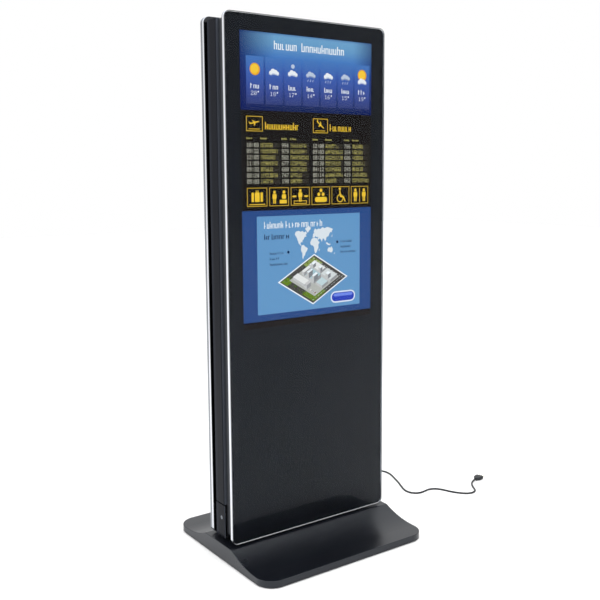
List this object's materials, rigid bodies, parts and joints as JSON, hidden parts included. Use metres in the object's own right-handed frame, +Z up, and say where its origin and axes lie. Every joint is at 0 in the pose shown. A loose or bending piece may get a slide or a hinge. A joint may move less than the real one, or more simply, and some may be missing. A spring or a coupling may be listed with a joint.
{
  "type": "touchscreen kiosk",
  "caption": "Free-standing portrait touchscreen kiosk: tall glass-fronted display slab and rear service door around a slim core, on a wide profiled foot.",
  "frame": {"origin": "on the floor at the centre of the foot", "axes": "+Z up; the screen faces -Y; +X is to the right of a person looking at the screen"},
  "size_m": [1.2808, 0.747, 1.772],
  "materials": {
    "foot_charcoal": "satin",
    "ballast_steel": "matte primer",
    "black_rubber": "matte",
    "frame_steel": "matte powder coat",
    "zinc_steel": "zinc plated",
    "cover_black": "gloss",
    "case_black": "satin",
    "door_black": "gloss",
    "polished_band": "polished",
    "front_glass": "gloss, printed black behind except over the screen",
    "sensor_film": "clear",
    "display_cell": "matte polariser",
    "backlight_tray": "moulded",
    "circuit_board": "solder mask",
    "screw_black": "black oxide",
    "lock_steel": "nickel plated",
    "cam_steel": "zinc plated",
    "switch_black": "moulded",
    "rocker_black": "moulded",
    "player_case": "black anodised",
    "supply_case": "bare",
    "fan_black": "moulded",
    "cable_black": "satin",
    "gland_black": "moulded",
    "cord_black": "satin",
    "plug_black": "moulded",
    "pin_brass": "nickel-plated brass"
  },
  "bodies": {
    "kiosk": {"base_shell": "foot_charcoal", "ballast_plate": "ballast_steel", "floor_pads": "black_rubber", "upright_left": "frame_steel", "upright_right": "frame_steel", "cross_rails": "frame_steel", "cover_brackets": "frame_steel", "foot_bolts": "zinc_steel", "panel_clips": "zinc_steel", "door_hinge_fixed_leaves": "zinc_steel", "door_hinge_pins": "zinc_steel", "flap_hinge_brackets": "zinc_steel", "flap_hinge_pin": "zinc_steel", "gland_nut": "zinc_steel", "equipment_plate": "zinc_steel", "side_cover_left": "cover_black", "side_cover_right": "cover_black", "top_cap": "case_black", "bottom_cap": "case_black", "front_housing": "case_black", "service_recess": "case_black", "front_edge_frame": "polished_band", "cover_glass": "front_glass", "touch_sensor": "sensor_film", "lcd_panel": "display_cell", "backlight_unit": "backlight_tray", "display_driver_board": "circuit_board", "touch_controller": "circuit_board", "housing_screws": "screw_black", "power_switch": "switch_black", "media_player": "player_case", "power_supply": "supply_case", "mains_filter": "supply_case", "fan_frame_left": "fan_black", "fan_frame_right": "fan_black", "foot_mains_cable": "cable_black", "display_power_cable": "cable_black", "display_video_cable": "cable_black", "cord_gland": "gland_black", "cord_lead_in": "cord_black", "cord_lead_out": "cord_black", "cord_coil": "cord_black", "mains_plug": "plug_black", "plug_pins": "pin_brass"},
    "rear_door": {"rear_edge_frame": "polished_band", "rear_panel": "door_black", "door_pan": "case_black", "door_seal": "black_rubber", "door_hinge_moving_leaves": "zinc_steel"},
    "door_lock_lower": {"door_lock_barrel_lower": "lock_steel", "door_lock_cam_lower": "cam_steel"},
    "door_lock_upper": {"door_lock_barrel_upper": "lock_steel", "door_lock_cam_upper": "cam_steel"},
    "flap": {"access_flap": "cover_black"},
    "flap_lock": {"flap_lock_barrel": "lock_steel", "flap_lock_cam": "cam_steel"},
    "rocker": {"power_rocker": "rocker_black"},
    "fan_left": {"fan_rotor_left": "fan_black"},
    "fan_right": {"fan_rotor_right": "fan_black"}
  },
  "joints": [
    {"name": "door_hinge", "type": "hinge", "parent": "kiosk", "child": "rear_door", "pos_m": [0.315, 0.048, 0.911], "axis": [0, 0, 1], "range_deg": [-100, 0]},
    {"name": "door_lock_lower_turn", "type": "hinge", "parent": "rear_door", "child": "door_lock_lower", "pos_m": [-0.245, 0.057, 0.5], "axis": [0, -1, 0], "range_deg": [0, 90]},
    {"name": "door_lock_upper_turn", "type": "hinge", "parent": "rear_door", "child": "door_lock_upper", "pos_m": [-0.245, 0.057, 1.4], "axis": [0, -1, 0], "range_deg": [0, 90]},
    {"name": "flap_hinge", "type": "hinge", "parent": "kiosk", "child": "flap", "pos_m": [-0.31, 0.0405, 0.123], "axis": [0, 0, 1], "range_deg": [-90, 0]},
    {"name": "flap_lock_turn", "type": "hinge", "parent": "flap", "child": "flap_lock", "pos_m": [-0.31, 0.004, 0.135], "axis": [1, 0, 0], "range_deg": [0, 90]},
    {"name": "rocker_tilt", "type": "hinge", "parent": "kiosk", "child": "rocker", "pos_m": [-0.2855, 0.016, 0.155], "axis": [0, 1, 0], "range_deg": [0, 18]},
    {"name": "fan_left_spin", "type": "hinge", "parent": "kiosk", "child": "fan_left", "pos_m": [-0.11, 0.014, 1.75], "axis": [0, 0, 1], "continuous": true},
    {"name": "fan_right_spin", "type": "hinge", "parent": "kiosk", "child": "fan_right", "pos_m": [0.11, 0.014, 1.75], "axis": [0, 0, 1], "continuous": true}
  ]
}
